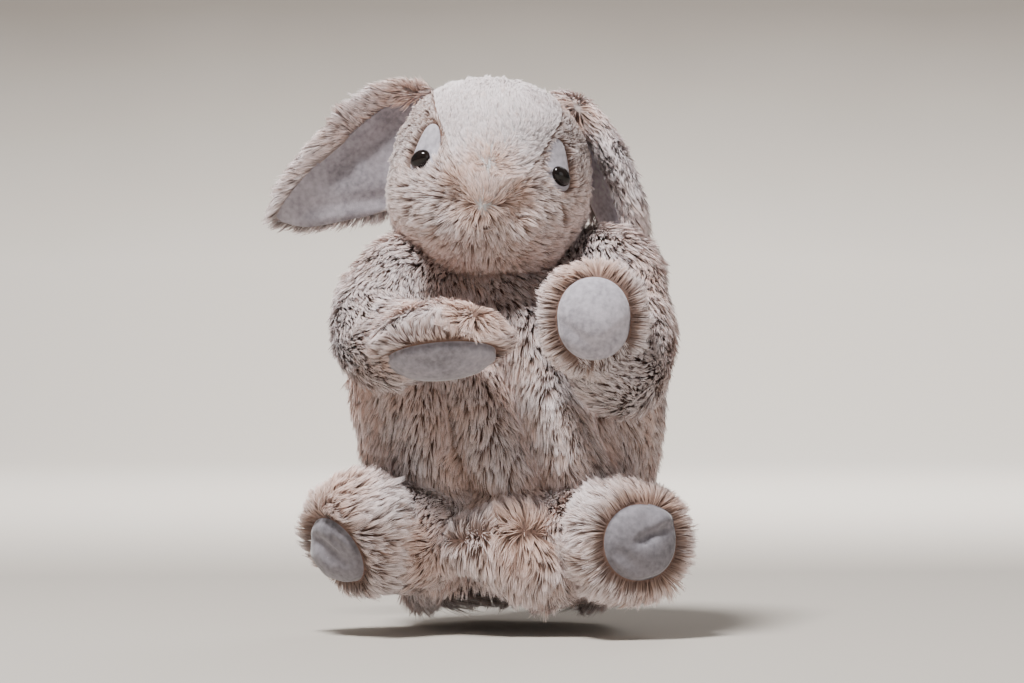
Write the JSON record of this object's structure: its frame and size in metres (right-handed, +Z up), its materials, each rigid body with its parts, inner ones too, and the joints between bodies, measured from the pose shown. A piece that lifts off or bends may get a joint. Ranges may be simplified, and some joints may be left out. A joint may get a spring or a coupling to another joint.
{
  "type": "rabbit hand puppet",
  "caption": "Plush rabbit hand puppet: fur glove with a wrist opening, stuffed turning head with floppy ears, two sleeves with padded paws and two stuffed feet.",
  "frame": {"origin": "middle of the round wrist opening, at the hem's lower edge", "axes": "+Z up the glove from the wrist to the head, -Y the way the rabbit looks, +X its left side; the wrist opening faces -Z"},
  "size_m": [0.1878, 0.1573, 0.2436],
  "materials": {
    "fur": "shaggy tipped faux fur",
    "face_fur": "paler, denser faux fur",
    "velour": "short smooth grey-lilac velour",
    "lining": "plain woven polyester lining",
    "filling": "white polyester fibre",
    "eye": "polished black",
    "washer": "moulded",
    "thread": "twisted thread"
  },
  "bodies": {
    "glove": {"body_front_panel": "fur", "body_back_panel": "fur", "hem_band": "fur", "lining_front": "lining", "lining_back": "lining", "tail": "face_fur"},
    "neck": {"neck_gather": "fur"},
    "head": {"forehead_gusset": "face_fur", "left_cheek_panel": "fur", "right_cheek_panel": "fur", "head_filling": "filling", "head_finger_pocket": "lining", "left_eye_patch": "velour", "right_eye_patch": "velour", "left_eye": "eye", "right_eye": "eye", "left_eye_washer": "washer", "right_eye_washer": "washer", "mouth_stitch": "thread"},
    "left_ear": {"left_ear_fur": "fur", "left_ear_lining": "velour"},
    "right_ear": {"right_ear_fur": "fur", "right_ear_lining": "velour"},
    "left_arm": {"left_sleeve": "fur"},
    "right_arm": {"right_sleeve": "fur"},
    "left_hand": {"left_paw": "fur", "left_palm_pad": "velour", "left_paw_filling": "filling"},
    "right_hand": {"right_paw": "fur", "right_palm_pad": "velour", "right_paw_filling": "filling"},
    "left_leg": {"left_foot": "fur", "left_sole": "velour", "left_foot_filling": "filling"},
    "right_leg": {"right_foot": "fur", "right_sole": "velour", "right_foot_filling": "filling"}
  },
  "joints": [
    {"name": "neck_turn", "type": "hinge", "parent": "glove", "child": "neck", "pos_m": [-0.012, 0, 0.1605], "axis": [0, 0, 1], "range_deg": [-20, 28]},
    {"name": "head_nod", "type": "hinge", "parent": "neck", "child": "head", "pos_m": [-0.012, 0, 0.1605], "axis": [1, 0, 0], "range_deg": [-25, 6]},
    {"name": "left_ear_swing", "type": "hinge", "parent": "head", "child": "left_ear", "pos_m": [0.0238, 0.0102, 0.2345], "axis": [0, 1, 0], "range_deg": [-60, 4]},
    {"name": "right_ear_swing", "type": "hinge", "parent": "head", "child": "right_ear", "pos_m": [-0.0453, 0.0252, 0.222], "axis": [0, 1, 0], "range_deg": [-5, 45]},
    {"name": "left_shoulder", "type": "hinge", "parent": "glove", "child": "left_arm", "pos_m": [0.0446, -0.0246, 0.1466], "axis": [0, 0, 1], "range_deg": [-4, 45]},
    {"name": "right_shoulder", "type": "hinge", "parent": "glove", "child": "right_arm", "pos_m": [-0.0558, -0.0246, 0.1466], "axis": [0, 0, 1], "range_deg": [-45, 4]},
    {"name": "left_wrist", "type": "hinge", "parent": "left_arm", "child": "left_hand", "pos_m": [0.0556, -0.0417, 0.1158], "axis": [0, 1, 0], "range_deg": [-15, 20]},
    {"name": "right_wrist", "type": "hinge", "parent": "right_arm", "child": "right_hand", "pos_m": [-0.0599, -0.0445, 0.1246], "axis": [0, 0, 1], "range_deg": [-25, 4]},
    {"name": "left_hip", "type": "hinge", "parent": "glove", "child": "left_leg", "pos_m": [0.0302, -0.0352, 0.035], "axis": [0.7507, 0.6606, 0], "range_deg": [-18, 16]},
    {"name": "right_hip", "type": "hinge", "parent": "glove", "child": "right_leg", "pos_m": [-0.0435, -0.0275, 0.035], "axis": [0.5408, -0.8412, 0], "range_deg": [-16, 16]}
  ]
}
